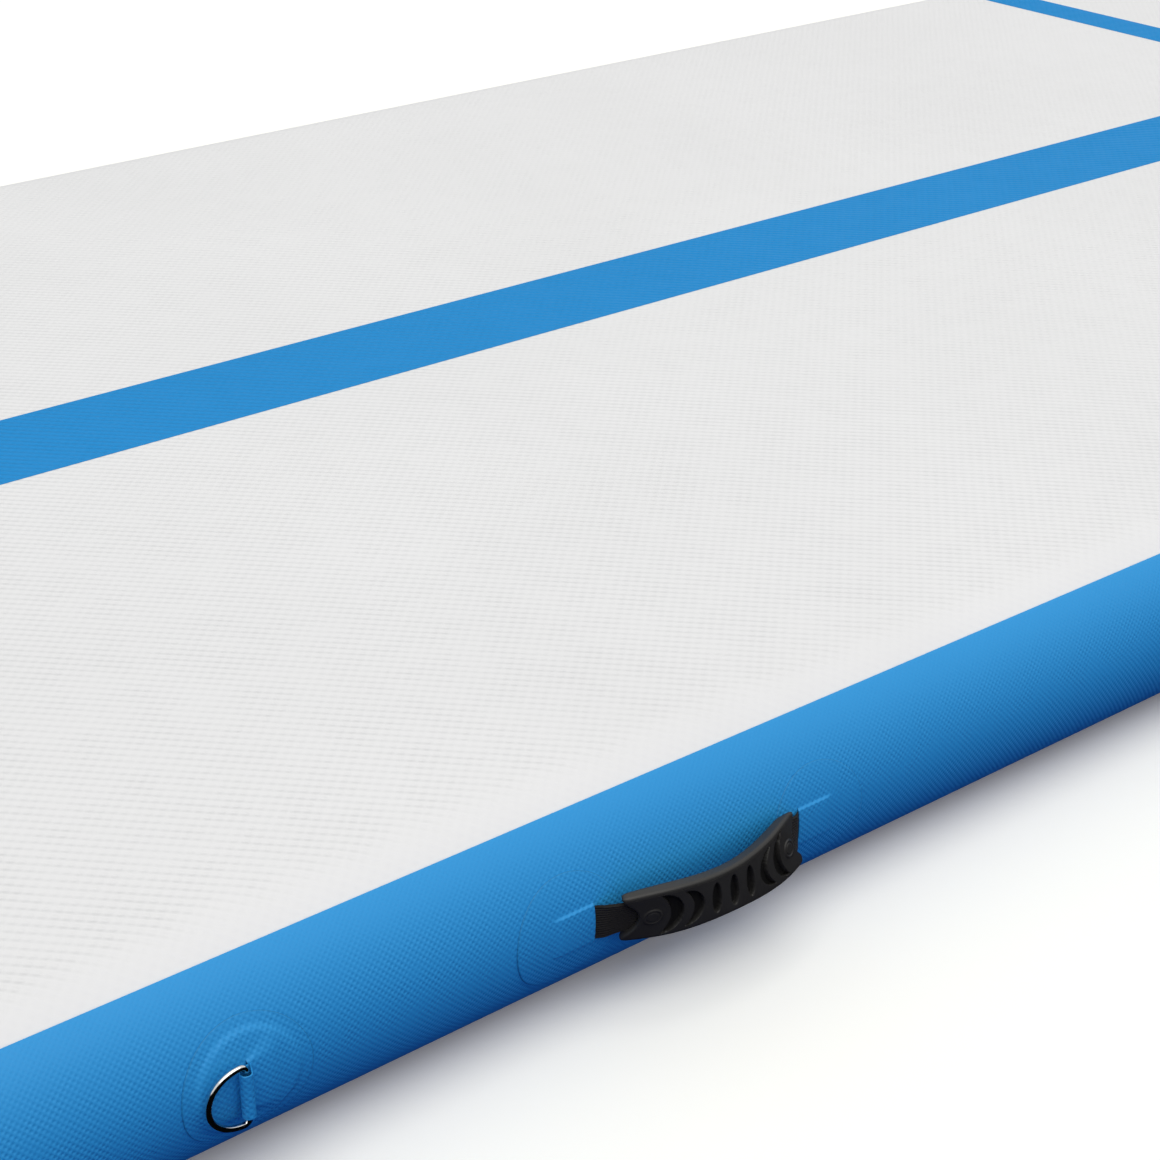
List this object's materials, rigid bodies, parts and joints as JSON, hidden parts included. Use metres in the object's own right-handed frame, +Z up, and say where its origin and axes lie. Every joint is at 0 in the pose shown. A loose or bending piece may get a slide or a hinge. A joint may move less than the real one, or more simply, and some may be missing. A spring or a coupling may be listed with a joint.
{
  "type": "air_track_mat",
  "caption": "Flat inflatable tumbling mat with rounded side walls, marked top, carry handles, tie-down rings and an inflation valve in one end",
  "frame": {"origin": "middle of the underside, on the floor", "axes": "+X along the length away from the valve end, +Y across the width to the back, +Z up"},
  "size_m": [3, 1.047, 0.1007],
  "materials": {
    "pvc_top_grey": "light grey PVC-coated fabric with a fine embossed weave",
    "pvc_wall_blue": "blue PVC-coated fabric with a fine embossed weave and a soft sheen",
    "print_line_blue": "blue PVC marking strip with the same fine weave",
    "polyester_cloth": "undyed woven polyester drop-stitch cloth",
    "nylon_webbing": "black woven nylon webbing",
    "rubber_grip": "black moulded rubber, satin",
    "ring_steel": "polished stainless steel wire",
    "valve_plastic": "dark grey moulded plastic",
    "valve_rubber": "black rubber",
    "spring_steel": "bright spring steel wire"
  },
  "bodies": {
    "mat": {"bottom_panel": "pvc_top_grey", "top_panel": "pvc_top_grey", "side_wall_front": "pvc_wall_blue", "side_wall_back": "pvc_wall_blue", "valve_wall": "pvc_wall_blue", "wall_lining": "pvc_top_grey", "drop_stitch_cloth": "polyester_cloth", "centre_line": "print_line_blue", "cross_line_left_front": "print_line_blue", "cross_line_left_back": "print_line_blue", "cross_line_right_front": "print_line_blue", "cross_line_right_back": "print_line_blue", "handle_front_left_patch_a": "pvc_wall_blue", "handle_front_left_patch_b": "pvc_wall_blue", "handle_front_right_patch_a": "pvc_wall_blue", "handle_front_right_patch_b": "pvc_wall_blue", "handle_back_left_patch_a": "pvc_wall_blue", "handle_back_left_patch_b": "pvc_wall_blue", "handle_back_right_patch_a": "pvc_wall_blue", "handle_back_right_patch_b": "pvc_wall_blue", "ring_front_left_base": "pvc_wall_blue", "ring_front_left_cover": "pvc_wall_blue", "ring_front_left_loop": "pvc_wall_blue", "ring_front_right_base": "pvc_wall_blue", "ring_front_right_cover": "pvc_wall_blue", "ring_front_right_loop": "pvc_wall_blue", "ring_back_left_base": "pvc_wall_blue", "ring_back_left_cover": "pvc_wall_blue", "ring_back_left_loop": "pvc_wall_blue", "ring_back_right_base": "pvc_wall_blue", "ring_back_right_cover": "pvc_wall_blue", "ring_back_right_loop": "pvc_wall_blue", "valve_body": "valve_plastic", "valve_guide": "valve_plastic", "valve_gasket": "valve_rubber", "valve_nut": "valve_plastic", "valve_spring": "spring_steel"},
    "handle_front_left": {"handle_front_left_strap": "nylon_webbing", "handle_front_left_grip": "rubber_grip"},
    "handle_front_right": {"handle_front_right_strap": "nylon_webbing", "handle_front_right_grip": "rubber_grip"},
    "handle_back_left": {"handle_back_left_strap": "nylon_webbing", "handle_back_left_grip": "rubber_grip"},
    "handle_back_right": {"handle_back_right_strap": "nylon_webbing", "handle_back_right_grip": "rubber_grip"},
    "ring_front_left": {"ring_front_left_wire": "ring_steel"},
    "ring_front_right": {"ring_front_right_wire": "ring_steel"},
    "ring_back_left": {"ring_back_left_wire": "ring_steel"},
    "ring_back_right": {"ring_back_right_wire": "ring_steel"},
    "valve_plunger": {"valve_stem": "valve_plastic", "valve_seal": "valve_rubber"},
    "cap_ring": {"valve_cap_seal": "valve_rubber"},
    "cap": {"valve_cap": "valve_plastic"}
  },
  "joints": [
    {"name": "handle_front_left_swing", "type": "hinge", "parent": "mat", "child": "handle_front_left", "pos_m": [-0.22, -0.5011, 0.05], "axis": [-1, 0, 0], "range_deg": [-18, 18], "stiffness_Nm_per_rad": 0.3, "deforming": ["handle_front_left_strap"]},
    {"name": "handle_front_right_swing", "type": "hinge", "parent": "mat", "child": "handle_front_right", "pos_m": [0.22, -0.5011, 0.05], "axis": [-1, 0, 0], "range_deg": [-18, 18], "stiffness_Nm_per_rad": 0.3, "deforming": ["handle_front_right_strap"]},
    {"name": "handle_back_left_swing", "type": "hinge", "parent": "mat", "child": "handle_back_left", "pos_m": [-0.22, 0.5011, 0.05], "axis": [1, 0, 0], "range_deg": [-18, 18], "stiffness_Nm_per_rad": 0.3, "deforming": ["handle_back_left_strap"]},
    {"name": "handle_back_right_swing", "type": "hinge", "parent": "mat", "child": "handle_back_right", "pos_m": [0.22, 0.5011, 0.05], "axis": [1, 0, 0], "range_deg": [-18, 18], "stiffness_Nm_per_rad": 0.3, "deforming": ["handle_back_right_strap"]},
    {"name": "ring_front_left_swing", "type": "hinge", "parent": "mat", "child": "ring_front_left", "pos_m": [-0.45, -0.50525, 0.05], "axis": [0, 0, 1], "range_deg": [0, 170]},
    {"name": "ring_front_right_swing", "type": "hinge", "parent": "mat", "child": "ring_front_right", "pos_m": [0.45, -0.50525, 0.05], "axis": [0, 0, -1], "range_deg": [0, 170]},
    {"name": "ring_back_left_swing", "type": "hinge", "parent": "mat", "child": "ring_back_left", "pos_m": [-0.45, 0.50525, 0.05], "axis": [0, 0, -1], "range_deg": [0, 170]},
    {"name": "ring_back_right_swing", "type": "hinge", "parent": "mat", "child": "ring_back_right", "pos_m": [0.45, 0.50525, 0.05], "axis": [0, 0, 1], "range_deg": [0, 170]},
    {"name": "valve_press", "type": "slide", "parent": "mat", "child": "valve_plunger", "axis": [1, 0, 0], "range_m": [0, 0.005], "stiffness_N_per_m": 400, "springref_m": -0.004, "deforming": ["valve_spring"]},
    {"name": "cap_lift", "type": "slide", "parent": "mat", "child": "cap_ring", "axis": [-1, 0, 0], "range_m": [0, 0.0081]},
    {"name": "cap_turn", "type": "hinge", "parent": "cap_ring", "child": "cap", "pos_m": [-1.48795, 0, 0.05], "axis": [-1, 0, 0], "range_deg": [0, 720]}
  ],
  "couplings": [
    {"joint": "cap_lift", "follows": "cap_turn", "m_per_rad": 0.00063662}
  ]
}
